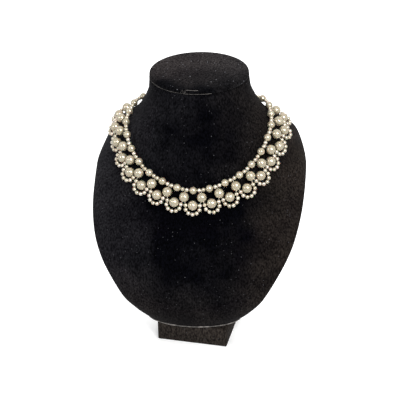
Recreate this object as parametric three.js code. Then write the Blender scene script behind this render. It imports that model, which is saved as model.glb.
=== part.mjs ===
// A pearl lace choker on a plain neck bust, in millimetres, +Z up.
// The origin is the middle of the foot's base. +X is to the right seen from the front, -Y is the front.
import * as THREE from "three";
import { mergeVertices } from "three/addons/utils/BufferGeometryUtils.js";

// Pearls
const largePearl = 7.8;
const mediumPearl = 6;
const smallPearl = 3.4;
const threadThickness = 1.1; // the bundle of threads that shows between two pearls
const gap = 0.3; // between pieces that touch on the real necklace
const rowGap = 0.55; // the same between the rows of the lace, which aren't in step all the way
const restGap = 0.4; // from a pearl to the bust that it lies on
const beadSides = 10;
const largeBands = 4;
const smallBands = 3;

// Strand
const frontUnits = 9; // medium pearls on each side of the centre one that carry the lace
const picotBeads = 5; // small pearls in the loop below each lower pearl

// Clasp
const claspLength = 11;
const claspThickness = 5;
const claspBarrel = 0.7; // share of its length that is full thickness
const claspSides = 10;

// Bust
const bustBottom = 17; // height of the lower rim above the floor
const bustTop = 217.8; // height of the lid's middle
const bustHalfWidth = 87;
const bustFront = 69.5; // the furthest forward of the neck's axis
const bustBack = 38;
const lidTilt = 11.5; // degrees, lower at the front
const lidTiltStart = 0.773; // share of the bust's height where its sections start to tilt
const lidTiltGrowth = 1.5; // how slowly the tilt sets in above that
const lidThickness = 3.6;
const bustLean = -3; // how far its lower rim is out of the middle, sideways
const leanTop = 0.545; // share of the bust's height below which it leans that way
const bustColumns = 26;

// Foot
const footWidth = 59;
const footDepth = 52;
const footFront = 57; // its front face, forward of the neck's axis
const footTurn = -7.5; // degrees

// The bust's sections, from the lower rim to the lid. Each is half an ellipse in front of its widest
// line and half an ellipse behind it. It reaches halfWidth to each side, front forward and back
// behind the neck's axis. widest is a share of the way from the foremost to the rearmost point.
const bustSections = [
  { height: 0, halfWidth: 0.446, front: 0.849, widest: 0.284, back: -0.316 },
  { height: 0.0644, halfWidth: 0.554, front: 0.935, widest: 0.181, back: -0.158 },
  { height: 0.1387, halfWidth: 0.664, front: 0.978, widest: 0.116, back: 0 },
  { height: 0.2636, halfWidth: 0.802, front: 1, widest: 0.102, back: 0.211 },
  { height: 0.3885, halfWidth: 0.923, front: 0.964, widest: 0.195, back: 0.421 },
  { height: 0.5134, halfWidth: 0.986, front: 0.784, widest: 0.419, back: 0.605 },
  { height: 0.6025, halfWidth: 1, front: 0.694, widest: 0.67, back: 0.737 },
  { height: 0.6868, halfWidth: 0.933, front: 0.637, widest: 0.898, back: 0.868 },
  { height: 0.7373, halfWidth: 0.88, front: 0.593, widest: 0.866, back: 0.947 },
  { height: 0.7869, halfWidth: 0.749, front: 0.555, widest: 0.814, back: 0.997 },
  { height: 0.8364, halfWidth: 0.592, front: 0.525, widest: 0.767, back: 1 },
  { height: 0.886, halfWidth: 0.515, front: 0.496, widest: 0.738, back: 0.982 },
  { height: 0.9365, halfWidth: 0.469, front: 0.46, widest: 0.7, back: 0.945 },
  { height: 1, halfWidth: 0.454, front: 0.417, widest: 0.672, back: 0.9 },
];

// The way of the top strand round the neck: its height on the bust at each turn from the front.
const strandRoute = [
  { turn: 0, height: 0.5956 },
  { turn: 24, height: 0.6471 },
  { turn: 47, height: 0.7562 },
  { turn: 67, height: 0.8017 },
  { turn: 89, height: 0.8285 },
  { turn: 110, height: 0.8384 },
  { turn: 140, height: 0.8404 },
  { turn: 180, height: 0.8384 },
];

const rad = THREE.MathUtils.degToRad;
const bustHeight = bustTop - bustBottom;

// A smooth curve through the rows of a table, read at a value of its first column.
function reader(rows, from, to) {
  const n = rows.length;
  const x = rows.map((row) => row[from]);
  const y = rows.map((row) => row[to]);
  const step = (i) => (y[i + 1] - y[i]) / (x[i + 1] - x[i]);
  const slope = rows.map((row, i) => {
    if (i === 0 || i === n - 1) return from === "turn" ? 0 : step(i === 0 ? 0 : n - 2);
    const before = step(i - 1);
    const after = step(i);
    if (before * after <= 0) return 0;
    return (2 * before * after) / (before + after);
  });
  return (at) => {
    let i = 0;
    while (i < n - 2 && at > x[i + 1]) i += 1;
    const h = x[i + 1] - x[i];
    const t = (at - x[i]) / h;
    const t2 = t * t;
    const t3 = t2 * t;
    return (
      y[i] * (2 * t3 - 3 * t2 + 1) +
      h * slope[i] * (t3 - 2 * t2 + t) +
      y[i + 1] * (3 * t2 - 2 * t3) +
      h * slope[i + 1] * (t3 - t2)
    );
  };
}

const halfWidthAt = reader(bustSections, "height", "halfWidth");
const frontAt = reader(bustSections, "height", "front");
const backAt = reader(bustSections, "height", "back");
const widestAt = reader(bustSections, "height", "widest");
const strandHeightAt = reader(strandRoute, "turn", "height");

// A point of the bust's skin: turn in radians from the front towards +X, height as a share.
function skin(turn, height) {
  const front = -frontAt(height) * bustFront;
  const back = backAt(height) * bustBack;
  const widest = widestAt(height) * (bustFront + bustBack) - bustFront;
  const reach = Math.cos(turn) > 0 ? widest - front : back - widest;
  const lean = bustLean * Math.max(0, 1 - height / leanTop);
  const x = lean + halfWidthAt(height) * bustHalfWidth * Math.sin(turn);
  const y = widest - reach * Math.cos(turn);
  const tilt = Math.max(0, (height - lidTiltStart) / (1 - lidTiltStart)) ** lidTiltGrowth;
  const z = bustBottom + height * bustHeight + Math.tan(rad(lidTilt)) * tilt * (y - widest);
  return new THREE.Vector3(x, y, z);
}

// How the skin runs there for each unit of turn and for each unit of height.
const nearby = 0.004;
function skinAcross(turn, height) {
  const run = skin(turn + nearby, height).sub(skin(turn - nearby, height));
  return run.divideScalar(2 * nearby);
}
function skinUp(turn, height) {
  const run = skin(turn, height + nearby).sub(skin(turn, height - nearby));
  return run.divideScalar(2 * nearby);
}

// The direction out of the skin there.
function skinNormal(turn, height) {
  return skinAcross(turn, height).cross(skinUp(turn, height)).normalize();
}

// A point at a height over the skin.
function over(turn, height, lift) {
  return skin(turn, height).addScaledVector(skinNormal(turn, height), lift);
}

// A route on the bust, as its places { turn, height } and its length up to each of them.
function makeRoute(places, lift) {
  const points = places.map((p) => over(p.turn, p.height, lift));
  const lengths = [0];
  for (let i = 1; i < points.length; i += 1) {
    lengths.push(lengths[i - 1] + points[i].distanceTo(points[i - 1]));
  }
  return { places, points, lengths, whole: lengths[lengths.length - 1] };
}

// The place on a route at a length from its start, mirrored for a length below zero.
function placeOn(route, at) {
  const length = Math.abs(at);
  let i = 0;
  while (i < route.lengths.length - 2 && route.lengths[i + 1] < length) i += 1;
  const share = (length - route.lengths[i]) / (route.lengths[i + 1] - route.lengths[i]);
  const a = route.places[i];
  const b = route.places[i + 1];
  const turn = a.turn + (b.turn - a.turn) * share;
  return { turn: Math.sign(at) * turn, height: a.height + (b.height - a.height) * share };
}

// The strand lies as its medium pearls do, half of one over the skin.
const strandLift = mediumPearl / 2 + restGap;
const laceLift = largePearl / 2 + restGap;
const routeSteps = 180;
const strandPlaces = [];
for (let i = 0; i <= routeSteps; i += 1) {
  const turn = (180 * i) / routeSteps;
  strandPlaces.push({ turn: rad(turn), height: strandHeightAt(turn) });
}
const strandLine = makeRoute(strandPlaces, strandLift);

// The direction of the strand on the skin at a turn.
function strandAhead(turn) {
  const pointAt = (at) => skin(at, strandHeightAt(THREE.MathUtils.radToDeg(Math.abs(at))));
  return pointAt(turn + nearby).sub(pointAt(turn - nearby));
}

// A place moved down the skin, square to the strand, by a length.
const belowSteps = 8;
function below(place, length) {
  const ahead = strandAhead(place.turn);
  const step = length / belowSteps;
  let at = place;
  for (let i = 0; i < belowSteps; i += 1) {
    const across = skinAcross(at.turn, at.height);
    const up = skinUp(at.turn, at.height);
    const down = skinNormal(at.turn, at.height).cross(ahead).normalize();
    if (down.z > 0) down.negate();
    // the step as so much turn and so much height
    const acrossUp = across.dot(up);
    const spread = across.lengthSq() * up.lengthSq() - acrossUp ** 2;
    const turn = (down.dot(across) * up.lengthSq() - down.dot(up) * acrossUp) / spread;
    const height = (down.dot(up) * across.lengthSq() - down.dot(across) * acrossUp) / spread;
    at = { turn: at.turn + step * turn, height: at.height + step * height };
  }
  return at;
}

// How the pearls of the lace sit to each other.
const strandPitch = mediumPearl + 2 * smallPearl;
const lowerPitch = largePearl + 2 * smallPearl + gap;
const rowDrop = Math.sqrt(((largePearl + smallPearl) / 2 + rowGap) ** 2 - (smallPearl / 2) ** 2);
const laceTurn = 150; // degrees, a little past the end of the lace
const lacePlaces = strandPlaces
  .filter((place) => place.turn < rad(laceTurn))
  .map((place) => below(place, 2 * rowDrop));
const lowerLine = makeRoute(lacePlaces, laceLift);

const pearlMaterial = new THREE.MeshStandardMaterial({ color: 0xe6dac0, roughness: 0.25, metalness: 0 });
const velvetMaterial = new THREE.MeshStandardMaterial({ color: 0x121214, roughness: 0.95, metalness: 0 });
const claspMaterial = new THREE.MeshStandardMaterial({ color: 0xc8c8c4, roughness: 0.3, metalness: 1 });

const part = new THREE.Group();
const display = new THREE.Group(); // in it the neck's axis is at y = 0
const footCentre = footDepth / 2 - footFront;
display.position.y = -footCentre;
part.add(display);

// One body of beads on a line of centres, with the thread's thickness between them.
function beadedLine(beads, closed) {
  const rings = [];
  const count = beads.length;
  const thread = threadThickness / 2;
  beads.forEach((bead, i) => {
    const before = closed || i > 0 ? beads[(i + count - 1) % count] : null;
    const after = closed || i < count - 1 ? beads[(i + 1) % count] : null;
    const ahead = (after ?? bead).at.clone().sub((before ?? bead).at).normalize();
    const radius = bead.size / 2;
    const drilled = Math.sqrt(radius ** 2 - thread ** 2); // half the length of the bead's hole
    const addRing = (along, ringRadius) => {
      const at = bead.at.clone().addScaledVector(ahead, along);
      rings.push({ at, ahead, out: bead.out, radius: ringRadius });
    };
    if (before) {
      const touch = before.at.clone().lerp(bead.at, before.size / (before.size + bead.size));
      const back = bead.at.clone().sub(before.at).normalize();
      rings.push({ at: touch, ahead: back, out: bead.out, radius: thread });
    } else {
      addRing(-drilled, thread);
    }
    const bands = bead.size === largePearl ? largeBands : smallBands;
    for (let k = 1; k < bands; k += 1) {
      const angle = (Math.PI * k) / bands;
      addRing(-radius * Math.cos(angle), radius * Math.sin(angle));
    }
    if (!after) addRing(drilled, thread);
  });
  const points = [];
  for (const ring of rings) {
    const across = new THREE.Vector3().crossVectors(ring.ahead, ring.out).normalize();
    const up = new THREE.Vector3().crossVectors(across, ring.ahead).normalize();
    for (let k = 0; k < beadSides; k += 1) {
      const angle = (2 * Math.PI * k) / beadSides;
      points.push(
        ring.at
          .clone()
          .addScaledVector(across, ring.radius * Math.cos(angle))
          .addScaledVector(up, ring.radius * Math.sin(angle)),
      );
    }
  }
  const index = [];
  const last = closed ? rings.length : rings.length - 1;
  for (let r = 0; r < last; r += 1) {
    const a = r * beadSides;
    const b = ((r + 1) % rings.length) * beadSides;
    for (let k = 0; k < beadSides; k += 1) {
      const next = (k + 1) % beadSides;
      index.push(a + k, b + k, a + next, a + next, b + k, b + next);
    }
  }
  if (!closed) {
    const end = (rings.length - 1) * beadSides;
    for (let k = 1; k < beadSides - 1; k += 1) {
      index.push(0, k, k + 1);
      index.push(end, end + k + 1, end + k);
    }
  }
  const geometry = new THREE.BufferGeometry().setFromPoints(points);
  geometry.setIndex(index);
  geometry.computeVertexNormals();
  return geometry;
}

function addPiece(name, geometry, material) {
  const mesh = new THREE.Mesh(geometry, material);
  mesh.name = name;
  display.add(mesh);
  return mesh;
}

const number = (n) => String(n).padStart(2, "0");

// The top strand: one medium pearl, two small ones, and so on, in a left and a right half.
// The centre pearl belongs to the right half, and the halves meet beside it.
// Behind the neck it runs on until the clasp, with single small pearls where a unit is too long.
const strandSpare = strandLine.whole - (claspLength + mediumPearl) / 2;
const strandUnits = Math.floor(strandSpare / strandPitch);
const endPearls = Math.floor((strandSpare - strandUnits * strandPitch) / smallPearl);
const strandBead = (size, at) => {
  const place = placeOn(strandLine, at);
  const middle = over(place.turn, place.height, strandLift);
  return { size, at: middle, out: skinNormal(place.turn, place.height) };
};
function strandHalf(side) {
  const beads = [];
  if (side > 0) beads.push(strandBead(mediumPearl, 0));
  for (let unit = 1; unit <= strandUnits; unit += 1) {
    const middle = (unit - 0.5) * strandPitch;
    const slack = unit === 1 && side < 0 ? gap : 0;
    beads.push(strandBead(smallPearl, side * (middle - smallPearl / 2 + slack)));
    beads.push(strandBead(smallPearl, side * (middle + smallPearl / 2 + slack / 2)));
    beads.push(strandBead(mediumPearl, side * unit * strandPitch));
  }
  for (let k = 0; k < endPearls; k += 1) {
    const at = strandUnits * strandPitch + (mediumPearl + smallPearl) / 2 + k * smallPearl;
    beads.push(strandBead(smallPearl, side * at));
  }
  return beads;
}
addPiece("strand_right", beadedLine(strandHalf(1), false), pearlMaterial);
addPiece("strand_left", beadedLine(strandHalf(-1), false), pearlMaterial);

// The clasp: a plain barrel that closes the strand behind the neck, with a thin end on each side
// that reaches to the strand.
const strandEnd = strandUnits * strandPitch + mediumPearl / 2 + endPearls * smallPearl;
function addClasp() {
  const left = placeOn(strandLine, -strandEnd);
  const right = placeOn(strandLine, strandEnd);
  const from = over(left.turn, left.height, strandLift);
  const to = over(right.turn, right.height, strandLift);
  const half = from.distanceTo(to) / 2 - gap;
  const barrel = Math.min(half, claspLength / 2);
  const profile = [
    new THREE.Vector2(0, -half),
    new THREE.Vector2(threadThickness, -half),
    new THREE.Vector2(threadThickness, -barrel),
    new THREE.Vector2(claspThickness / 2, -barrel * claspBarrel),
    new THREE.Vector2(claspThickness / 2, barrel * claspBarrel),
    new THREE.Vector2(threadThickness, barrel),
    new THREE.Vector2(threadThickness, half),
    new THREE.Vector2(0, half),
  ];
  const clasp = addPiece("clasp", new THREE.LatheGeometry(profile, claspSides), claspMaterial);
  clasp.position.copy(from).lerp(to, 0.5);
  clasp.quaternion.setFromUnitVectors(new THREE.Vector3(0, 1, 0), to.sub(from).normalize());
}
addClasp();

// The lower row: a large pearl under each medium one, a small pearl on each side of it,
// and a loop of small pearls below, all on one thread that closes on itself.
const lowerUnits = frontUnits - 1;
const picotRing = picotBeads + 2;
const connectorReach = (largePearl + smallPearl) / 2;
const halvings = 50;

// The loop's pearls touch each other on part of a circle: half the angle of that part,
// where its two ends are as far from each other as the small pearls beside the large one.
function picotHalfAngle() {
  let low = Math.PI / 6;
  let high = Math.PI;
  for (let i = 0; i < halvings; i += 1) {
    const half = (low + high) / 2;
    if (picotCircle(half) * Math.sin(half) > connectorReach) low = half;
    else high = half;
  }
  return (low + high) / 2;
}
function picotCircle(halfAngle) {
  return smallPearl / 2 / Math.sin(halfAngle / (picotRing - 1));
}
const picotAngle = picotHalfAngle();
const picotRadius = picotCircle(picotAngle);

function lacePoint(along) {
  const place = placeOn(lowerLine, along);
  return over(place.turn, place.height, laceLift);
}

for (let i = 0; i <= 2 * lowerUnits; i += 1) {
  const at = (i - lowerUnits) * lowerPitch;
  const place = placeOn(lowerLine, at);
  const out = skinNormal(place.turn, place.height);
  const middle = lacePoint(at);
  const ahead = lacePoint(at + connectorReach).sub(lacePoint(at - connectorReach)).normalize();
  const down = new THREE.Vector3().crossVectors(ahead, out).normalize();
  const beads = [{ size: largePearl, at: middle, out }];
  for (let k = 0; k < picotRing; k += 1) {
    const angle = picotAngle - (2 * picotAngle * k) / (picotRing - 1);
    const across = picotRadius * Math.sin(angle);
    const drop = picotRadius * (Math.cos(angle) - Math.cos(picotAngle));
    const center = middle.clone().addScaledVector(ahead, across).addScaledVector(down, drop);
    beads.push({ size: smallPearl, at: center, out });
  }
  addPiece("picot_" + number(i + 1), beadedLine(beads, true), pearlMaterial);
}

// The middle row: a large pearl halfway between each pair of small ones above and the next two below.
for (let i = 0; i < 2 * frontUnits; i += 1) {
  const unit = i - frontUnits + 0.5;
  const upper = placeOn(strandLine, unit * strandPitch);
  const lower = placeOn(lowerLine, unit * lowerPitch);
  const pearl = new THREE.SphereGeometry(largePearl / 2, beadSides, largeBands + 1);
  const mesh = addPiece("middle_pearl_" + number(i + 1), pearl, pearlMaterial);
  mesh.position.copy(over((upper.turn + lower.turn) / 2, (upper.height + lower.height) / 2, laceLift));
}

// A solid that fills the skin between the first and the last of some heights, its top lowered by sink.
function bustSolid(heights, sink) {
  const rows = heights.length - 1;
  const shape = new THREE.CylinderGeometry(1, 1, 1, bustColumns, rows);
  shape.deleteAttribute("normal");
  shape.deleteAttribute("uv");
  const merged = mergeVertices(shape);
  const point = merged.getAttribute("position");
  for (let i = 0; i < point.count; i += 1) {
    const height = heights[Math.round((point.getY(i) + 0.5) * rows)];
    const reach = Math.hypot(point.getX(i), point.getZ(i));
    const turn = Math.atan2(point.getX(i), point.getZ(i));
    const rim = skin(turn, height);
    const middle = skin(0, height).lerp(skin(Math.PI, height), 0.5);
    const at = middle.lerp(rim, reach);
    if (height === heights[rows]) at.z -= sink;
    point.setXYZ(i, at.x, at.y, at.z);
  }
  merged.computeVertexNormals();
  return merged;
}
const lidStart = 1 - lidThickness / bustHeight; // share of the height where the lid begins
const bustHeights = bustSections.map((row) => Math.min(row.height, lidStart));
addPiece("neck_bust", bustSolid(bustHeights, gap), velvetMaterial);
addPiece("bust_lid", bustSolid([lidStart, 1], 0), velvetMaterial);

const foot = addPiece(
  "bust_foot",
  new THREE.BoxGeometry(footWidth, footDepth, bustBottom - gap),
  velvetMaterial,
);
foot.position.set(0, footCentre, (bustBottom - gap) / 2);
foot.rotation.z = rad(footTurn);

export default part;
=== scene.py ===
import math
import bpy
import numpy as np
from mathutils import Euler, Matrix, Quaternion, Vector


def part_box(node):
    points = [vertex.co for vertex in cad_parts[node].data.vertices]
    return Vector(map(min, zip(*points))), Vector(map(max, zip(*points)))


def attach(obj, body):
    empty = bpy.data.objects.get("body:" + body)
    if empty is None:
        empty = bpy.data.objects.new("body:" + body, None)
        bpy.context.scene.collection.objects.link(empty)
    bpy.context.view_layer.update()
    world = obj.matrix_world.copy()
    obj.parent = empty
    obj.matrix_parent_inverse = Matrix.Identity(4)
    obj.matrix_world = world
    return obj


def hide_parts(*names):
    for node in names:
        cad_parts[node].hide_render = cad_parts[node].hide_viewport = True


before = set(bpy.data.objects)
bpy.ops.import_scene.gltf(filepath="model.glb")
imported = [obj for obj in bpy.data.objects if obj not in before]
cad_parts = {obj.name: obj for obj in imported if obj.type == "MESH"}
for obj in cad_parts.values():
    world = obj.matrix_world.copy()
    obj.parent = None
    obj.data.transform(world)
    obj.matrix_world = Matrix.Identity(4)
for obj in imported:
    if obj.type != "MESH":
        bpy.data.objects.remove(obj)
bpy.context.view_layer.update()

mm = 0.001
print("frame loaded:", len(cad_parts), "nodes")

# the necklace as it is strung, in millimetres
pearls = {
    "large": 7.8,
    "medium": 6.0,
    "small": 3.4,
    "gap": 0.3,  # between pieces that lie against each other
    "rowGap": 0.55,  # between the pearls of two rows
    "restGap": 0.4,  # between a pearl and the velvet
    "frontUnits": 9,  # middle pearls on each side
    "picotBeads": 5,  # small pearls in the lower part of a loop
    "claspLength": 11.0,
}

# the bust and its foot, in millimetres and degrees
bust = {
    "bottom": 17.0,
    "top": 217.8,
    "halfWidth": 87.0,
    "front": 69.5,
    "back": 38.0,
    "lidTilt": 11.5,
    "lidTiltStart": 0.773,  # the share of the height where the tilt begins
    "lidTiltGrowth": 1.5,
    "lean": -3.0,  # how far the lower end stands to the left
    "leanTop": 0.545,
    "lidThickness": 3.6,
    "footWidth": 59.0,
    "footDepth": 52.0,
    "footFront": 57.0,
    "footTurn": -7.5,
}
# its sections from the bottom up, as shares of its height, half width, front, depth and back
sections = {
    "columns": ("height", "halfWidth", "front", "widest", "back"),
    "rows": [
        (0, 0.446, 0.849, 0.284, -0.316),
        (0.0644, 0.554, 0.935, 0.181, -0.158),
        (0.1387, 0.664, 0.978, 0.116, 0),
        (0.2636, 0.802, 1, 0.102, 0.211),
        (0.3885, 0.923, 0.964, 0.195, 0.421),
        (0.5134, 0.986, 0.784, 0.419, 0.605),
        (0.6025, 1, 0.694, 0.67, 0.737),
        (0.6868, 0.933, 0.637, 0.898, 0.868),
        (0.7373, 0.88, 0.593, 0.866, 0.947),
        (0.7869, 0.749, 0.555, 0.814, 0.997),
        (0.8364, 0.592, 0.525, 0.767, 1),
        (0.886, 0.515, 0.496, 0.738, 0.982),
        (0.9365, 0.469, 0.46, 0.7, 0.945),
        (1, 0.454, 0.417, 0.672, 0.9),
    ],
}
# the top strand's height on the bust, as a share, at each turn in degrees from the front
strandRoute = {
    "columns": ("turn", "height"),
    "rows": [
        (0, 0.5956),
        (24, 0.6471),
        (47, 0.7562),
        (67, 0.8017),
        (89, 0.8285),
        (110, 0.8384),
        (140, 0.8404),
        (180, 0.8384),
    ],
}
originY = bust["footFront"] - bust["footDepth"] / 2


def reader(table, target, flatEnds=False):
    # a smooth curve through the rows of a table, read at a value of its first column
    x = np.array([row[0] for row in table["rows"]], float)
    y = np.array([row[table["columns"].index(target)] for row in table["rows"]], float)
    step = np.diff(y) / np.diff(x)
    slope = np.zeros(len(x))
    for i in range(1, len(x) - 1):
        if step[i - 1] * step[i] > 0:
            slope[i] = 2 * step[i - 1] * step[i] / (step[i - 1] + step[i])
    if not flatEnds:
        slope[0], slope[-1] = step[0], step[-1]

    def read(at):
        at = np.asarray(at, float)
        i = np.clip(np.searchsorted(x, at, side="left") - 1, 0, len(x) - 2)
        h = x[i + 1] - x[i]
        t = (at - x[i]) / h
        return (y[i] * (2 * t**3 - 3 * t**2 + 1) + h * slope[i] * (t**3 - 2 * t**2 + t)
                + y[i + 1] * (3 * t**2 - 2 * t**3) + h * slope[i + 1] * (t**3 - t**2))
    return read


halfWidthAt = reader(sections, "halfWidth")
frontAt = reader(sections, "front")
widestAt = reader(sections, "widest")
backAt = reader(sections, "back")
strandHeightAt = reader(strandRoute, "height", flatEnds=True)


def skin(turn, height):
    # a point of the bust's skin, in millimetres; turn is in radians from the front towards +X
    turn, height = np.broadcast_arrays(np.asarray(turn, float), np.asarray(height, float))
    ahead = np.cos(turn) > 0
    front = -frontAt(height) * bust["front"]
    widest = widestAt(height) * (bust["front"] + bust["back"]) - bust["front"]
    back = backAt(height) * bust["back"]
    reach = np.where(ahead, widest - front, back - widest)
    lean = bust["lean"] * np.maximum(0, 1 - height / bust["leanTop"])
    x = lean + halfWidthAt(height) * bust["halfWidth"] * np.sin(turn)
    y = widest - reach * np.cos(turn)
    tilt = np.maximum(0, (height - bust["lidTiltStart"]) / (1 - bust["lidTiltStart"]))
    z = bust["bottom"] + height * (bust["top"] - bust["bottom"])
    z = z + math.tan(math.radians(bust["lidTilt"])) * tilt ** bust["lidTiltGrowth"] * (y - widest)
    return np.stack([x, y, z], -1)


skinStep = 0.004  # how far apart two places are that give a slope of the skin


def skinAcross(turn, height):
    return (skin(turn + skinStep, height) - skin(turn - skinStep, height)) / (2 * skinStep)


def skinUp(turn, height):
    return (skin(turn, height + skinStep) - skin(turn, height - skinStep)) / (2 * skinStep)


def unit(v):
    return v / np.linalg.norm(v, axis=-1, keepdims=True)


def skinNormal(turn, height):
    return unit(np.cross(skinAcross(turn, height), skinUp(turn, height)))


def over(turn, height, lift):
    return skin(turn, height) + skinNormal(turn, height) * lift


def below(turn, height, length, steps=8):
    # a place moved down the skin, square to the strand
    ends = [skin(at, strandHeightAt(np.abs(np.degrees(at)))) for at in (turn - skinStep, turn + skinStep)]
    ahead = ends[1] - ends[0]
    for _ in range(steps):
        across, up = skinAcross(turn, height), skinUp(turn, height)
        down = unit(np.cross(skinNormal(turn, height), ahead))
        down = np.where(down[..., 2:3] > 0, -down, down)
        aa, uu, au = (across * across).sum(-1), (up * up).sum(-1), (across * up).sum(-1)
        da, du = (down * across).sum(-1), (down * up).sum(-1)
        spread = aa * uu - au * au
        turn = turn + length / steps * (da * uu - du * au) / spread
        height = height + length / steps * (du * aa - da * au) / spread
    return turn, height


class SkinLine:
    # a line on the bust that gives the place at a length along it
    def __init__(self, turns, heights, lift):
        self.turns, self.heights, self.lift = turns, heights, lift
        points = over(turns, heights, lift)
        steps = np.linalg.norm(np.diff(points, axis=0), axis=1)
        self.lengths = np.concatenate([[0], np.cumsum(steps)])
        self.whole = self.lengths[-1]

    def place(self, at):
        length = abs(at)
        turn = np.interp(length, self.lengths, self.turns)
        return math.copysign(turn, at), float(np.interp(length, self.lengths, self.heights))

    def point(self, at):
        turn, height = self.place(at)
        return over(turn, height, self.lift)


strandPitch = pearls["medium"] + 2 * pearls["small"]
lowerPitch = pearls["large"] + 2 * pearls["small"] + pearls["gap"]
reachToNext = (pearls["large"] + pearls["small"]) / 2
rowDrop = math.sqrt((reachToNext + pearls["rowGap"]) ** 2 - (pearls["small"] / 2) ** 2)
strandLift = pearls["medium"] / 2 + pearls["restGap"]
laceLift = pearls["large"] / 2 + pearls["restGap"]
turnSteps = np.arange(181.0)
laceEnd = 150  # the lace ends before this turn, in degrees
strandLine = SkinLine(np.radians(turnSteps), strandHeightAt(turnSteps), strandLift)
laceTurns = np.radians(turnSteps[turnSteps < laceEnd])
lowerLine = SkinLine(*below(laceTurns, strandHeightAt(np.degrees(laceTurns)), 2 * rowDrop), laceLift)


# materials
def newMaterial(name):
    material = bpy.data.materials.new(name)
    material.use_nodes = True
    return material, material.node_tree, material.node_tree.nodes["Principled BSDF"]


def setInputs(node, values):
    for socket, value in values.items():
        node.inputs[socket].default_value = value


def addNode(tree, kind, values=None, **settings):
    # a node with its settings, and with values for its inputs by their names or numbers
    node = tree.nodes.new(kind)
    for setting, value in settings.items():
        setattr(node, setting, value)
    setInputs(node, values or {})
    return node


def addRamp(tree, stops):
    # a ramp through stops, each a place and a colour, from the lowest up
    node = tree.nodes.new("ShaderNodeValToRGB")
    elements = node.color_ramp.elements
    elements.remove(elements[-1])
    elements[0].position = stops[0][0]
    elements[0].color = (*stops[0][1], 1)
    for place, colour in stops[1:]:
        elements.new(place).color = (*colour, 1)
    return node


def pearlMaterial():
    look = {
        "shades": [(0, (0.47, 0.415, 0.29)), (0.55, (0.545, 0.485, 0.36)), (1, (0.73, 0.67, 0.57))],
        "cloudScale": 260,
        "cloudAmount": 0.35,
        "cloudTints": [(0.3, (0.9, 0.82, 0.74)), (0.7, (1, 1, 1))],
        "grainScale": 900,
        "bump": 0.35,
        "bumpDepth": 0.0002,
        "roughness": 0.2,
        "metallic": 0.6,
        "ior": 1.55,
        "coat": 1.0,
        "coatRoughness": 0.05,
        "coatIor": 2.0,
        "glow": 0.12,
        "glowDepth": 0.001,
    }
    material, tree, shader = newMaterial("pearlLustre")
    links = tree.links
    tone = addNode(tree, "ShaderNodeAttribute", attribute_name="tone")
    shades = addRamp(tree, look["shades"])
    links.new(tone.outputs["Fac"], shades.inputs["Fac"])
    place = addNode(tree, "ShaderNodeTexCoord")
    cloud = addNode(tree, "ShaderNodeTexNoise", {"Scale": look["cloudScale"], "Detail": 3})
    links.new(place.outputs["Object"], cloud.inputs["Vector"])
    tint = addRamp(tree, look["cloudTints"])
    links.new(cloud.outputs["Fac"], tint.inputs["Fac"])
    mottle = addNode(tree, "ShaderNodeMix", data_type="RGBA", blend_type="MULTIPLY")
    setInputs(mottle, {"Factor": look["cloudAmount"]})
    links.new(shades.outputs["Color"], mottle.inputs["A"])
    links.new(tint.outputs["Color"], mottle.inputs["B"])
    links.new(mottle.outputs["Result"], shader.inputs["Base Color"])
    grain = addNode(tree, "ShaderNodeTexNoise", {"Scale": look["grainScale"], "Detail": 2})
    links.new(place.outputs["Object"], grain.inputs["Vector"])
    bump = addNode(tree, "ShaderNodeBump", {"Strength": look["bump"], "Distance": look["bumpDepth"]})
    links.new(grain.outputs["Fac"], bump.inputs["Height"])
    links.new(bump.outputs["Normal"], shader.inputs["Normal"])
    setInputs(shader, {
        "Roughness": look["roughness"],
        "Metallic": look["metallic"],
        "IOR": look["ior"],
        "Coat Weight": look["coat"],
        "Coat Roughness": look["coatRoughness"],
        "Coat IOR": look["coatIor"],
        "Subsurface Weight": look["glow"],
        "Subsurface Scale": look["glowDepth"],
    })
    return material


# the velvet's pile, the same on every covered piece, with places in metres
pile = {
    "patches": 38,
    "patchAmount": 1.1,
    "reaches": {  # from where to where a painted sheen grows stronger towards a side
        "right": ("X", 0.026, 0.082),
        "left": ("X", -0.022, -0.085),
        "low": ("Z", 0.09, 0.015),
        "high": ("Z", 0.13, 0.2),
        "behind": ("Y", -0.004, 0.042),
    },
    "warmFrom": -0.005,  # the warm shade grows from here to the right
    "warmTo": 0.055,
    "lowWarmFrom": 0.085,  # and from here down
    "lowWarmTo": 0.035,
    "lowWarmth": 0.65,
    "tufts": 820,
    "tuftStretch": 0.55,
    "tuftShades": [(0.36, (0.22, 0.22, 0.24)), (0.68, (1.2, 1.2, 1.2))],
    "lintScale": 520,
    "lintSize": 0.2,
    "lintRare": 0.86,
    "bump": 0.6,
    "bumpDepth": 0.0004,
    "roughness": 0.95,
    "specular": 0.01,
    "sheen": 0.03,
    "sheenRoughness": 0.35,
    "sheenTint": (0.95, 0.95, 1, 1),
}


def pileLeanAndPaintedSheen(tree, place, axes, start, sides):
    # how far the pile lies over in random patches, from 0 where one looks into it, plus a painted sheen
    # that grows towards the sides
    links = tree.links
    patches = addNode(tree, "ShaderNodeTexNoise", {"Scale": pile["patches"], "Detail": 3})
    links.new(place.outputs["Object"], patches.inputs["Vector"])
    amount = pile["patchAmount"]
    lean = addNode(tree, "ShaderNodeMath", {1: amount, 2: start - amount / 2}, operation="MULTIPLY_ADD")
    links.new(patches.outputs["Fac"], lean.inputs[0])
    for side, most in sides.items():
        axis, near, far = pile["reaches"][side]
        reach = addNode(tree, "ShaderNodeMapRange", {"From Min": near, "From Max": far, "To Max": most})
        links.new(axes.outputs[axis], reach.inputs["Value"])
        total = addNode(tree, "ShaderNodeMath", operation="ADD")
        links.new(lean.outputs["Value"], total.inputs[0])
        links.new(reach.outputs["Result"], total.inputs[1])
        lean = total
    lean.use_clamp = True
    return lean.outputs["Value"]


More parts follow.
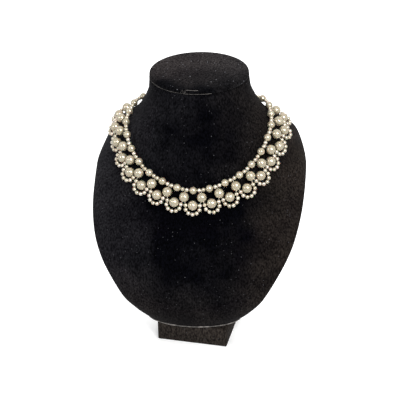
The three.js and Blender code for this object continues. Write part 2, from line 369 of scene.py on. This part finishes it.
def pileWarmth(tree, axes):
    # how warm the lighter pile and its painted sheen are, more on the right and low down
    across = addNode(tree, "ShaderNodeMapRange", {"From Min": pile["warmFrom"], "From Max": pile["warmTo"]})
    tree.links.new(axes.outputs["X"], across.inputs["Value"])
    down = addNode(tree, "ShaderNodeMapRange", {
        "From Min": pile["lowWarmFrom"],
        "From Max": pile["lowWarmTo"],
        "To Max": pile["lowWarmth"],
    })
    tree.links.new(axes.outputs["Z"], down.inputs["Value"])
    warmth = addNode(tree, "ShaderNodeMath", operation="MAXIMUM")
    tree.links.new(across.outputs["Result"], warmth.inputs[0])
    tree.links.new(down.outputs["Result"], warmth.inputs[1])
    return warmth.outputs["Value"]


def lintSpecks(tree, place):
    # a few small specks of lint, each of its own strength
    links = tree.links
    cells = addNode(tree, "ShaderNodeTexVoronoi", {"Scale": pile["lintScale"]})
    links.new(place.outputs["Object"], cells.inputs["Vector"])
    near = addNode(tree, "ShaderNodeMath", {1: pile["lintSize"]}, operation="LESS_THAN")
    links.new(cells.outputs["Distance"], near.inputs[0])
    pick = addNode(tree, "ShaderNodeSeparateColor")
    links.new(cells.outputs["Color"], pick.inputs["Color"])
    few = addNode(tree, "ShaderNodeMath", {1: pile["lintRare"]}, operation="GREATER_THAN")
    links.new(pick.outputs["Red"], few.inputs[0])
    speck = addNode(tree, "ShaderNodeMath", operation="MULTIPLY")
    links.new(near.outputs["Value"], speck.inputs[0])
    links.new(few.outputs["Value"], speck.inputs[1])
    soft = addNode(tree, "ShaderNodeMath", operation="MULTIPLY")
    links.new(pick.outputs["Green"], soft.inputs[0])
    links.new(speck.outputs["Value"], soft.inputs[1])
    return soft.outputs["Value"]


def velvetMaterial(name, look):
    # look has the deep colour of the pile, cool and warm for where it lies over and for its painted sheen,
    # the grey of its lint, how far it lies over everywhere (start) and how much painted sheen is added
    # towards each side
    material, tree, shader = newMaterial(name)
    links = tree.links
    place = addNode(tree, "ShaderNodeTexCoord")
    axes = addNode(tree, "ShaderNodeSeparateXYZ")
    links.new(place.outputs["Object"], axes.inputs["Vector"])
    brushedAndSheen = addNode(tree, "ShaderNodeMix", data_type="RGBA")
    setInputs(brushedAndSheen, {"A": (*look["cool"], 1), "B": (*look["warm"], 1)})
    links.new(pileWarmth(tree, axes), brushedAndSheen.inputs["Factor"])
    shades = addNode(tree, "ShaderNodeMix", data_type="RGBA")
    setInputs(shades, {"A": (*look["deep"], 1)})
    links.new(brushedAndSheen.outputs["Result"], shades.inputs["B"])
    links.new(pileLeanAndPaintedSheen(tree, place, axes, look["start"], look["sides"]), shades.inputs["Factor"])
    stretch = addNode(tree, "ShaderNodeVectorMath", {1: (1, 1, pile["tuftStretch"])}, operation="MULTIPLY")
    links.new(place.outputs["Object"], stretch.inputs[0])
    tufts = addNode(tree, "ShaderNodeTexNoise", {"Scale": pile["tufts"], "Detail": 2})
    links.new(stretch.outputs["Vector"], tufts.inputs["Vector"])
    contrast = addRamp(tree, pile["tuftShades"])
    links.new(tufts.outputs["Fac"], contrast.inputs["Fac"])
    piled = addNode(tree, "ShaderNodeMix", {"Factor": 1}, data_type="RGBA", blend_type="MULTIPLY")
    links.new(shades.outputs["Result"], piled.inputs["A"])
    links.new(contrast.outputs["Color"], piled.inputs["B"])
    dusted = addNode(tree, "ShaderNodeMix", data_type="RGBA")
    setInputs(dusted, {"B": (look["lint"], look["lint"], look["lint"] * 1.1, 1)})
    links.new(lintSpecks(tree, place), dusted.inputs["Factor"])
    links.new(piled.outputs["Result"], dusted.inputs["A"])
    links.new(dusted.outputs["Result"], shader.inputs["Base Color"])
    bump = addNode(tree, "ShaderNodeBump", {"Strength": pile["bump"], "Distance": pile["bumpDepth"]})
    links.new(tufts.outputs["Fac"], bump.inputs["Height"])
    links.new(bump.outputs["Normal"], shader.inputs["Normal"])
    setInputs(shader, {
        "Roughness": pile["roughness"],
        "Specular IOR Level": pile["specular"],
        "Sheen Weight": pile["sheen"],
        "Sheen Roughness": pile["sheenRoughness"],
        "Sheen Tint": pile["sheenTint"],
    })
    return material


def edgeMaterial(name, pale):
    # a worn velvet edge drawn pale: a painted highlight where the edge catches the light, patchy where the
    # backing shows through; pale is its lightest grey
    look = {"scale": 260, "wornAndLit": (1, 0.92, 0.86), "whole": (0.3, 0.28, 0.26), "roughness": 0.9}
    material, tree, shader = newMaterial(name)
    place = addNode(tree, "ShaderNodeTexCoord")
    wear = addNode(tree, "ShaderNodeTexNoise", {"Scale": look["scale"], "Detail": 3})
    tree.links.new(place.outputs["Object"], wear.inputs["Vector"])
    stops = [(0.4, look["whole"]), (0.6, look["wornAndLit"])]
    shades = addRamp(tree, [(stop, [pale * c for c in colour]) for stop, colour in stops])
    tree.links.new(wear.outputs["Fac"], shades.inputs["Fac"])
    tree.links.new(shades.outputs["Color"], shader.inputs["Base Color"])
    setInputs(shader, {"Roughness": look["roughness"]})
    return material


def threadMaterial():
    material, tree, shader = newMaterial("nylonThread")
    setInputs(shader, {"Base Color": (0.62, 0.58, 0.5, 1), "Roughness": 0.35})
    return material


def metalMaterial():
    look = {"colour": (0.74, 0.72, 0.68, 1), "wearScale": 700, "smooth": 0.18, "rough": 0.42}
    material, tree, shader = newMaterial("claspMetal")
    place = addNode(tree, "ShaderNodeTexCoord")
    wear = addNode(tree, "ShaderNodeTexNoise", {"Scale": look["wearScale"]})
    tree.links.new(place.outputs["Object"], wear.inputs["Vector"])
    rough = addNode(tree, "ShaderNodeMapRange", {"To Min": look["smooth"], "To Max": look["rough"]})
    tree.links.new(wear.outputs["Fac"], rough.inputs["Value"])
    tree.links.new(rough.outputs["Result"], shader.inputs["Roughness"])
    setInputs(shader, {"Base Color": look["colour"], "Metallic": 1})
    return material


pearlFinish = pearlMaterial()
bustVelvet = velvetMaterial("blackVelvet", {
    "deep": (0.0013, 0.0013, 0.0022),
    "cool": (0.0175, 0.0170, 0.0190),
    "warm": (0.0185, 0.0150, 0.0125),
    "lint": 0.045,
    "start": -0.035,
    # the sides add painted sheen: lighter towards the right and left edges, low down and up the neck
    "sides": {"right": 0.9, "left": 0.92, "low": 0.55, "high": 0.28},
})
lidVelvet = velvetMaterial("lidVelvet", {
    "deep": (0.0030, 0.0030, 0.0038),
    "cool": (0.038, 0.033, 0.032),
    "warm": (0.034, 0.032, 0.032),
    "lint": 0.15,
    "start": -0.07,
    # the side behind adds a painted highlight towards the lid's back
    "sides": {"behind": 0.66},
})
footVelvet = velvetMaterial("footVelvet", {
    "deep": (0.022, 0.0185, 0.0160),
    "cool": (0.032, 0.026, 0.022),
    "warm": (0.032, 0.026, 0.022),
    "lint": 0.05,
    "start": 0.5,
    "sides": {},
})
# pale edge lines: a painted highlight where the edges catch the light, patchy with wear
rimFinish = edgeMaterial("rimEdge", 0.22)
seamFinish = edgeMaterial("lidSeam", 0.075)
threadFinish = threadMaterial()
metalFinish = metalMaterial()


def meshObject(name, points, faces, smooth=True):
    mesh = bpy.data.meshes.new(name)
    mesh.from_pydata([tuple(p) for p in points], [], faces)
    mesh.update()
    if smooth:
        mesh.shade_smooth()
    piece = bpy.data.objects.new(name, mesh)
    bpy.context.scene.collection.objects.link(piece)
    return piece


def toFrame(points):
    # from the neck's axis to the frame's origin, in metres
    return (np.asarray(points, float) + (0, originY, 0)) * mm


# a fine shape for the large and medium pearls and a coarse one for the small, where the hole is a share of
# the radius
pearlShapes = {
    "fine": {"sides": 40, "rings": 24, "hole": 0.075, "tones": (0, 0.4)},
    "coarse": {"sides": 12, "rings": 6, "hole": 0.14, "tones": (0.5, 0.9)},
    "dimpleWidth": 0.7,  # this and the depth are shares of the hole
    "dimpleDepth": 0.6,
    "dimplePoint": 0.03,
}


def pearlShape(name, look):
    # a unit pearl, drilled along Z with a small dimple at each end
    sides, rings, hole = look["sides"], look["rings"], look["hole"]
    edge = math.asin(hole)
    levels = [edge + (math.pi - 2 * edge) * k / (rings - 1) for k in range(rings)]
    profile = [(math.sin(a), math.cos(a)) for a in levels]
    inner = (hole * pearlShapes["dimpleWidth"], profile[0][1] - hole * pearlShapes["dimpleDepth"])
    profile = [inner] + profile + [(inner[0], -inner[1])]
    points, faces = [], []
    for r, z in profile:
        for k in range(sides):
            a = 2 * math.pi * k / sides
            points.append((r * math.cos(a), r * math.sin(a), z))
    for i in range(len(profile) - 1):
        for k in range(sides):
            n = (k + 1) % sides
            faces.append((i * sides + k, (i + 1) * sides + k, (i + 1) * sides + n, i * sides + n))
    top, bottom = len(points), len(points) + 1
    tip = inner[1] - pearlShapes["dimplePoint"]
    points += [(0, 0, tip), (0, 0, -tip)]
    last = (len(profile) - 1) * sides
    for k in range(sides):
        n = (k + 1) % sides
        faces.append((top, k, n))
        faces.append((bottom, last + n, last + k))
    return meshObject(name, points, faces)


def newTree(name, inputs, output):
    # a tree with its named inputs, each a kind and a value, and one geometry output
    tree = bpy.data.node_groups.new(name, "GeometryNodeTree")
    for title, (kind, value) in inputs.items():
        socket = tree.interface.new_socket(title, in_out="INPUT", socket_type="NodeSocket" + kind)
        if value is not None:
            socket.default_value = value
    tree.interface.new_socket(output, in_out="OUTPUT", socket_type="NodeSocketGeometry")
    return tree, addNode(tree, "NodeGroupInput"), addNode(tree, "NodeGroupOutput")


def stringTree():
    # puts a drilled pearl on every place, along its thread
    tree, given, result = newTree("threadedPearls", {
        "Places": ("Geometry", None),
        "Pearl": ("Object", None),
        "Tone Seed": ("Int", 5),
        "Size Spread": ("Float", 0.01),
        "Tone From": ("Float", 0),
        "Tone To": ("Float", 1),
    }, "Pearls")
    links = tree.links
    shape = addNode(tree, "GeometryNodeObjectInfo")
    links.new(given.outputs["Pearl"], shape.inputs["Object"])
    along = addNode(tree, "GeometryNodeInputNamedAttribute", {"Name": "along"}, data_type="FLOAT_VECTOR")
    turned = addNode(tree, "FunctionNodeAlignRotationToVector", axis="Z")
    links.new(along.outputs["Attribute"], turned.inputs["Vector"])
    radius = addNode(tree, "GeometryNodeInputNamedAttribute", {"Name": "radius"}, data_type="FLOAT")
    least = addNode(tree, "ShaderNodeMath", {0: 1}, operation="SUBTRACT")
    links.new(given.outputs["Size Spread"], least.inputs[1])
    # a random number's sockets 2 and 3 are its least and its most, and its output 1 is the number
    spread = addNode(tree, "FunctionNodeRandomValue", {3: 1}, data_type="FLOAT")
    links.new(least.outputs["Value"], spread.inputs[2])
    links.new(given.outputs["Tone Seed"], spread.inputs["Seed"])
    scaled = addNode(tree, "ShaderNodeMath", operation="MULTIPLY")
    links.new(radius.outputs["Attribute"], scaled.inputs[0])
    links.new(spread.outputs[1], scaled.inputs[1])
    placed = addNode(tree, "GeometryNodeInstanceOnPoints")
    links.new(given.outputs["Places"], placed.inputs["Points"])
    links.new(shape.outputs["Geometry"], placed.inputs["Instance"])
    links.new(turned.outputs["Rotation"], placed.inputs["Rotation"])
    links.new(scaled.outputs["Value"], placed.inputs["Scale"])
    shade = addNode(tree, "FunctionNodeRandomValue", data_type="FLOAT")
    links.new(given.outputs["Tone From"], shade.inputs[2])
    links.new(given.outputs["Tone To"], shade.inputs[3])
    links.new(given.outputs["Tone Seed"], shade.inputs["Seed"])
    toned = addNode(tree, "GeometryNodeStoreNamedAttribute", data_type="FLOAT", domain="INSTANCE")
    setInputs(toned, {"Name": "tone"})
    links.new(placed.outputs["Instances"], toned.inputs["Geometry"])
    links.new(shade.outputs[1], toned.inputs["Value"])
    real = addNode(tree, "GeometryNodeRealizeInstances")
    links.new(toned.outputs["Geometry"], real.inputs["Geometry"])
    finish = addNode(tree, "GeometryNodeSetMaterial", {"Material": pearlFinish})
    links.new(real.outputs["Geometry"], finish.inputs["Geometry"])
    links.new(finish.outputs["Geometry"], result.inputs["Pearls"])
    return tree


def threadTree():
    # a round thread along the edges that are given
    tree, given, result = newTree("threadAlongEdges", {
        "Edges": ("Geometry", None),
        "Thread Radius": ("Float", 0.0002),
        "Finish": ("Material", None),
    }, "Thread")
    links = tree.links
    path = addNode(tree, "GeometryNodeMeshToCurve")
    links.new(given.outputs["Edges"], path.inputs["Mesh"])
    ring = addNode(tree, "GeometryNodeCurvePrimitiveCircle", {"Resolution": 6})
    links.new(given.outputs["Thread Radius"], ring.inputs["Radius"])
    sweep = addNode(tree, "GeometryNodeCurveToMesh", {"Fill Caps": True})
    links.new(path.outputs["Curve"], sweep.inputs["Curve"])
    links.new(ring.outputs["Curve"], sweep.inputs["Profile Curve"])
    real = addNode(tree, "GeometryNodeRealizeInstances")
    links.new(sweep.outputs["Mesh"], real.inputs["Geometry"])
    finish = addNode(tree, "GeometryNodeSetMaterial")
    links.new(real.outputs["Geometry"], finish.inputs["Geometry"])
    links.new(given.outputs["Finish"], finish.inputs["Material"])
    links.new(finish.outputs["Geometry"], result.inputs["Thread"])
    return tree


def grown(name, source, tree, values):
    # runs a tree on an object and leaves a plain mesh under the name
    modifier = source.modifiers.new("grow", "NODES")
    modifier.node_group = tree
    for item in tree.interface.items_tree:
        if item.item_type == "SOCKET" and item.in_out == "INPUT" and item.name in values:
            modifier[item.identifier] = values[item.name]
    ready = source.evaluated_get(bpy.context.evaluated_depsgraph_get())
    mesh = bpy.data.meshes.new_from_object(ready)
    mesh.name = name
    source.modifiers.remove(modifier)
    bpy.data.objects.remove(source)
    piece = bpy.data.objects.new(name, mesh)
    bpy.context.scene.collection.objects.link(piece)
    return piece


def placesObject(name, beads):
    # beads are (size in mm, centre, direction of the thread)
    mesh = bpy.data.meshes.new(name)
    mesh.from_pydata([tuple(toFrame(at)) for _, at, _ in beads], [], [])
    radius = mesh.attributes.new("radius", "FLOAT", "POINT")
    radius.data.foreach_set("value", [size / 2 * mm for size, _, _ in beads])
    along = mesh.attributes.new("along", "FLOAT_VECTOR", "POINT")
    along.data.foreach_set("vector", [c for _, _, way in beads for c in way])
    source = bpy.data.objects.new(name, mesh)
    bpy.context.scene.collection.objects.link(source)
    return source


fineShape = pearlShape("fineShape", pearlShapes["fine"])
coarseShape = pearlShape("coarseShape", pearlShapes["coarse"])
pearlTree = stringTree()
linkTree = threadTree()


def pearlString(name, beads, seed):
    # one piece for a string: its large and medium pearls and its small ones
    pieces = []
    for shape, look in ((fineShape, pearlShapes["fine"]), (coarseShape, pearlShapes["coarse"])):
        some = [bead for bead in beads if (bead[0] > pearls["small"]) == (shape is fineShape)]
        if some:
            least, most = look["tones"]
            values = {"Pearl": shape, "Tone Seed": seed + len(pieces), "Tone From": least, "Tone To": most}
            pieces.append(grown(name, placesObject(name + "Places", some), pearlTree, values))
    if len(pieces) > 1:
        with bpy.context.temp_override(active_object=pieces[0], object=pieces[0], selected_objects=pieces,
                                       selected_editable_objects=pieces):
            bpy.ops.object.join()
        pieces[0].name = name
    return pieces[0]


# the top strand
strandSpare = strandLine.whole - (pearls["claspLength"] + pearls["medium"]) / 2
strandUnits = math.floor(strandSpare / strandPitch)
endPearls = math.floor((strandSpare - strandUnits * strandPitch) / pearls["small"])
wayStep = 0.5  # how far before and after a pearl the thread's direction is read
threads = []


def strandHalf(side):
    # one half from the front to the clasp, side is 1 for the right and -1 for the left
    small = pearls["small"]
    places = [(pearls["medium"], 0.0)] if side > 0 else []
    for k in range(1, strandUnits + 1):
        middle = (k - 0.5) * strandPitch
        slack = pearls["gap"] if k == 1 and side < 0 else 0  # the left half keeps clear of the centre pearl
        places.append((small, side * (middle - small / 2 + slack)))
        places.append((small, side * (middle + small / 2 + slack / 2)))
        places.append((pearls["medium"], side * k * strandPitch))
    for k in range(endPearls):
        at = strandUnits * strandPitch + (pearls["medium"] + small) / 2 + k * small
        places.append((small, side * at))
    beads = []
    for size, at in places:
        way = unit(strandLine.point(at + wayStep) - strandLine.point(at - wayStep))
        beads.append((size, strandLine.point(at), way))
    return beads


rightHalf, leftHalf = strandHalf(1), strandHalf(-1)
strandRight = pearlString("strandRightPearls", rightHalf, 11)
strandLeft = pearlString("strandLeftPearls", leftHalf, 12)
for piece, node in ((strandRight, "strand_right"), (strandLeft, "strand_left")):
    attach(piece, "root")
    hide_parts(node)
threads.append([at for _, at, _ in leftHalf[::-1]] + [at for _, at, _ in rightHalf])
print("top strand:", len(rightHalf) + len(leftHalf), "pearls")

# the lower row, each large pearl with its loop of small ones
picotRing = pearls["picotBeads"] + 2


def picotHalfAngle():
    # the turn from a loop's middle to its ends, found by halving, that puts them beside the large pearl
    low, high = 0.5, math.pi - 0.1
    halvings = 50
    for _ in range(halvings):
        half = (low + high) / 2
        radius = pearls["small"] / 2 / math.sin(half / (picotRing - 1))
        if radius * math.sin(half) > reachToNext:
            low = half
        else:
            high = half
    return (low + high) / 2


picotAngle = picotHalfAngle()
picotRadius = pearls["small"] / 2 / math.sin(picotAngle / (picotRing - 1))
lowerUnits = pearls["frontUnits"] - 1
lowerRow = []
for i, k in enumerate(range(-lowerUnits, lowerUnits + 1)):
    at = k * lowerPitch
    turn, height = lowerLine.place(at)
    out = skinNormal(turn, height)
    centre = over(turn, height, laceLift)
    along = unit(lowerLine.point(at + reachToNext) - lowerLine.point(at - reachToNext))
    down = unit(np.cross(along, out))
    ring = [(pearls["large"], centre)]
    for j in range(picotRing):
        angle = picotAngle - 2 * picotAngle * j / (picotRing - 1)
        drop = picotRadius * (math.cos(angle) - math.cos(picotAngle))
        ring.append((pearls["small"], centre + along * picotRadius * math.sin(angle) + down * drop))
    beads = []
    for j, (size, here) in enumerate(ring):
        after, before = ring[(j + 1) % len(ring)][1], ring[j - 1][1]
        beads.append((size, here, unit(after - before)))
    piece = pearlString("picotPearls%02d" % (i + 1), beads, 31 + i)
    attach(piece, "root")
    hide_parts("picot_%02d" % (i + 1))
    threads.append([here for _, here in ring] + [ring[0][1]])
    lowerRow.append(ring)
print("lower row:", len(lowerRow), "loops")

# the middle row, each pearl threaded from the pair above to the pair below
for i in range(2 * pearls["frontUnits"]):
    k = i - pearls["frontUnits"] + 0.5
    upper, lower = strandLine.place(k * strandPitch), lowerLine.place(k * lowerPitch)
    centre = over((upper[0] + lower[0]) / 2, (upper[1] + lower[1]) / 2, laceLift)
    above = strandLine.point(k * strandPitch)
    name = "middlePearl%02d" % (i + 1)
    piece = pearlString(name, [(pearls["large"], centre, unit(above - centre))], 61 + i)
    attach(piece, "root")
    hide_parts("middle_pearl_%02d" % (i + 1))
    # down to the last loop's small pearl on its right and the next one's on its left
    if i > 0:
        threads.append([above, centre, lowerRow[i - 1][1][1]])
    if i < len(lowerRow):
        threads.append([above, centre, lowerRow[i][-1][1]])
print("middle row made")


threadRadius = 0.2


def threadPiece(name, lines, radius, material):
    # one piece of round thread along some lines of points, in millimetres
    points, edges = [], []
    for line in lines:
        start = len(points)
        points += [tuple(toFrame(p)) for p in line]
        edges += [(start + k, start + k + 1) for k in range(len(line) - 1)]
    mesh = bpy.data.meshes.new(name + "Lines")
    mesh.from_pydata(points, edges, [])
    source = bpy.data.objects.new(name + "Lines", mesh)
    bpy.context.scene.collection.objects.link(source)
    piece = grown(name, source, linkTree, {"Thread Radius": radius * mm, "Finish": material})
    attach(piece, "root")
    return piece


threadPiece("stringThread", threads, threadRadius, threadFinish)
for helper in (fineShape, coarseShape):
    bpy.data.objects.remove(helper)
print("thread made")

# the clasp keeps its solid
clasp = bpy.data.objects["clasp"]
clasp.data.materials.clear()
clasp.data.materials.append(metalFinish)

# the bust, with a rolled edge round its lid and along its lower rim
cover = {
    "columns": 192,
    "rows": 150,
    "roll": 1.6,  # the radius of the rolled edges, in millimetres
    "lowerSteps": 5,
    "upperSteps": 6,
    "under": 3,  # how many rolls the flat underside is drawn in
    "seam": 0.7,
    "seamHeight": 0.4,  # the seam's height, of the roll
    "lidShares": (0.85, 0.6, 0.3),  # rings of the lid's top, on the way to its middle
}
turns = np.linspace(0, 2 * math.pi, cover["columns"], endpoint=False)


def ringOf(height, inset, sink):
    # one ring of the skin, drawn in and lowered, in millimetres
    edge = skin(turns, np.full(len(turns), height))
    middle = edge.mean(axis=0)
    away = edge - middle
    reach = np.linalg.norm(away, axis=1, keepdims=True)
    ring = middle + away * (1 - inset / reach)
    ring[:, 2] -= sink
    return ring


def closedLoft(name, rings, material):
    points = np.concatenate(rings)
    n = len(rings[0])
    faces = []
    for i in range(len(rings) - 1):
        for k in range(n):
            m = (k + 1) % n
            faces.append((i * n + k, i * n + m, (i + 1) * n + m, (i + 1) * n + k))
    first, last = len(points), len(points) + 1
    middles = [ring.mean(axis=0, keepdims=True) for ring in (rings[0], rings[-1])]
    points = np.concatenate([points, *middles])
    top = (len(rings) - 1) * n
    for k in range(n):
        m = (k + 1) % n
        faces.append((first, m, k))
        faces.append((last, top + k, top + m))
    piece = meshObject(name, toFrame(points), faces)
    piece.data.materials.append(material)
    return piece


def quarterTurn(steps):
    # steps round a quarter of a rolled edge: a share that falls from 1 to 0 and one that grows from 0 to 1
    angles = [math.pi / 2 * k / (steps - 1) for k in range(steps)]
    return [(1 - math.sin(a), 1 - math.cos(a)) for a in angles]


bustHeight = bust["top"] - bust["bottom"]
rollShare = cover["roll"] / bustHeight
lidStart = 1 - bust["lidThickness"] / bustHeight
rings = [ringOf(0, cover["roll"] * cover["under"], 0)]
for short, turned in quarterTurn(cover["lowerSteps"]):
    rings.append(ringOf(rollShare * turned, cover["roll"] * short, 0))
for height in np.linspace(rollShare, lidStart - rollShare, cover["rows"])[1:-1]:
    rings.append(ringOf(height, 0, 0))
for short, turned in quarterTurn(cover["upperSteps"]):
    rings.append(ringOf(lidStart - rollShare * short, cover["roll"] * turned, pearls["gap"]))
velvetBust = closedLoft("velvetBust", rings, bustVelvet)
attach(velvetBust, "root")
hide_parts("neck_bust")

rings = []
for short, turned in quarterTurn(cover["lowerSteps"]):
    rings.append(ringOf(lidStart + rollShare * short * cover["seamHeight"], cover["seam"] * short, 0))
for short, turned in quarterTurn(cover["upperSteps"]):
    rings.append(ringOf(1 - rollShare * short, cover["roll"] * turned, 0))
for share in cover["lidShares"]:
    middle = rings[-1].mean(axis=0)
    rings.append(middle + (ringOf(1, cover["roll"], 0) - middle) * share)
velvetLid = closedLoft("velvetLid", rings, lidVelvet)
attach(velvetLid, "root")
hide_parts("bust_lid")

# the edges that catch the light, drawn as thin pale threads with a painted highlight, patchy with wear: the
# lower rim, and the seam under the lid with its overlap
edges = {
    "rim": {"from": -84, "to": 84, "height": 0.004, "lift": 0.1, "radius": 0.45},
    "seam": {"from": -80, "radius": 0.18},
    "overlap": {"from": -13, "to": 20, "radius": 0.2, "lift": 0.05, "lip": 3, "lipTo": 4, "lipSink": 0.25},
    "fray": [(-3, 0.2), (-1, 1), (0, 0.1), (2, 0.9), (1.5, 0.1), (3, 0.6)],  # degrees and shares of the lid
}


def edgeLine(start, end, height, lift):
    # a line round the front of the bust between two turns, in degrees
    turns = np.radians(np.arange(start, end + 1, 2.0))
    return over(turns, np.full(len(turns), height), lift)


rim, seam, overlap = edges["rim"], edges["seam"], edges["overlap"]
rimLine = edgeLine(rim["from"], rim["to"], rim["height"], rim["lift"])
threadPiece("rimEdge", [rimLine], rim["radius"], rimFinish)
seamLine = edgeLine(seam["from"], overlap["from"], lidStart, 0)
threadPiece("lidSeam", [seamLine], seam["radius"], seamFinish)
lipHeight = 1 - rollShare * overlap["lipSink"]
frayTurns, frayShares = np.array(edges["fray"]).T
frayHeights = lidStart + (lipHeight - lidStart) * frayShares
threadPiece("lidOverlap", [
    edgeLine(overlap["from"], overlap["to"], lidStart, overlap["lift"]),
    over(np.radians(overlap["from"] + frayTurns), frayHeights, 0),
    edgeLine(overlap["from"] + overlap["lip"], overlap["lipTo"], lipHeight, 0),
], overlap["radius"], seamFinish)
print("bust made")

# the foot, a covered box with soft edges
footEdge = {"width": 1.2, "segments": 3}
low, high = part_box("bust_foot")
centre = (Vector(low) + Vector(high)) / 2
half = (bust["footWidth"] / 2 * mm, bust["footDepth"] / 2 * mm, (high[2] - low[2]) / 2)
signs = [(x, y, z) for x in (-1, 1) for y in (-1, 1) for z in (-1, 1)]
corners = [Vector((x * half[0], y * half[1], z * half[2])) for x, y, z in signs]
faces = [(0, 1, 3, 2), (4, 6, 7, 5), (0, 4, 5, 1), (2, 3, 7, 6), (0, 2, 6, 4), (1, 5, 7, 3)]
place = Matrix.Translation(centre) @ Euler((0, 0, math.radians(bust["footTurn"]))).to_matrix().to_4x4()
velvetFoot = meshObject("velvetFoot", [place @ corner for corner in corners], faces)
bevel = velvetFoot.modifiers.new("softEdges", "BEVEL")
bevel.width = footEdge["width"] * mm
bevel.segments = footEdge["segments"]
ready = velvetFoot.evaluated_get(bpy.context.evaluated_depsgraph_get())
mesh = bpy.data.meshes.new_from_object(ready)
velvetFoot.modifiers.clear()
velvetFoot.data = mesh
velvetFoot.data.materials.append(footVelvet)
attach(velvetFoot, "root")
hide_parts("bust_foot")
print("foot made")

# camera at the photograph's angle, in degrees and metres
view = {
    "azimuth": 6.85,
    "elevation": 25.0,
    "roll": 1.2,
    "distance": 0.802,
    "lens": 81.0,
    "right": -0.001,
    "up": 0.0955,
}
azimuth, elevation = math.radians(view["azimuth"]), math.radians(view["elevation"])
level = math.cos(elevation)
back = Vector((math.sin(azimuth) * level, -math.cos(azimuth) * level, math.sin(elevation)))
right = Vector((math.cos(azimuth), math.sin(azimuth), 0))
up = back.cross(right)
cameraData = bpy.data.cameras.new("camera")
cameraData.lens = view["lens"]
cameraData.clip_start = 0.05
cameraData.clip_end = 20
camera = bpy.data.objects.new("camera", cameraData)
bpy.context.scene.collection.objects.link(camera)
bpy.context.scene.camera = camera
neckAxis = Vector((0, originY * mm, 0))
camera.location = neckAxis + back * view["distance"] + right * view["right"] + up * view["up"]
turned = Matrix((right, up, back)).transposed().to_4x4()
turned = turned @ Matrix.Rotation(math.radians(-view["roll"]), 4, "Z")
camera.rotation_mode = "QUATERNION"
camera.rotation_quaternion = turned.to_quaternion()


lights = {
    "key": {"place": (0.515, -0.88, 0.91), "wide": 0.8, "tall": 0.38, "power": 13, "turn": -45},
    "fill": {"place": (-0.9, -0.7, 0.7), "wide": 0.3, "tall": 0.3, "power": 2, "turn": 0},
    "above": {"place": (0, 0.5, 2.2), "wide": 2.5, "tall": 2.5, "power": 75, "turn": 0},
}
lightTarget = Vector((0, -0.06, 0.12))
for name, look in lights.items():
    data = bpy.data.lights.new(name, "AREA")
    data.shape = "RECTANGLE"
    data.size = look["wide"]
    data.size_y = look["tall"]
    data.energy = look["power"]
    light = bpy.data.objects.new(name, data)
    bpy.context.scene.collection.objects.link(light)
    light.location = look["place"]
    aim = (lightTarget - Vector(look["place"])).to_track_quat("-Z", "Y")
    light.rotation_euler = (aim @ Quaternion((0, 0, 1), math.radians(look["turn"]))).to_euler()
bpy.data.objects["above"].visible_glossy = False  # no large square in the pearls
world = bpy.data.worlds.new("studio")
world.use_nodes = True
setInputs(world.node_tree.nodes["Background"], {"Color": (1, 1, 1, 1), "Strength": 0.6})
bpy.context.scene.world = world
bpy.context.scene.view_settings.view_transform = "Standard"

# the floor glows a little, like a table lit from below, so that its shadow stays faint
stage = {"reach": 4, "colour": (0.86, 0.86, 0.86, 1), "roughness": 0.7, "glow": 0.28}
reach = stage["reach"]
corners = [(-reach, -reach, 0), (reach, -reach, 0), (reach, reach, 0), (-reach, reach, 0)]
floor = meshObject("floor", corners, [(0, 1, 2, 3)], smooth=False)
floorMaterial, tree, shader = newMaterial("paleFloor")
setInputs(shader, {
    "Base Color": stage["colour"],
    "Roughness": stage["roughness"],
    "Emission Color": (1, 1, 1, 1),
    "Emission Strength": stage["glow"],
})
floor.data.materials.append(floorMaterial)
floor.visible_glossy = False  # keeps the pearls' lower edges dark
print("stage made")
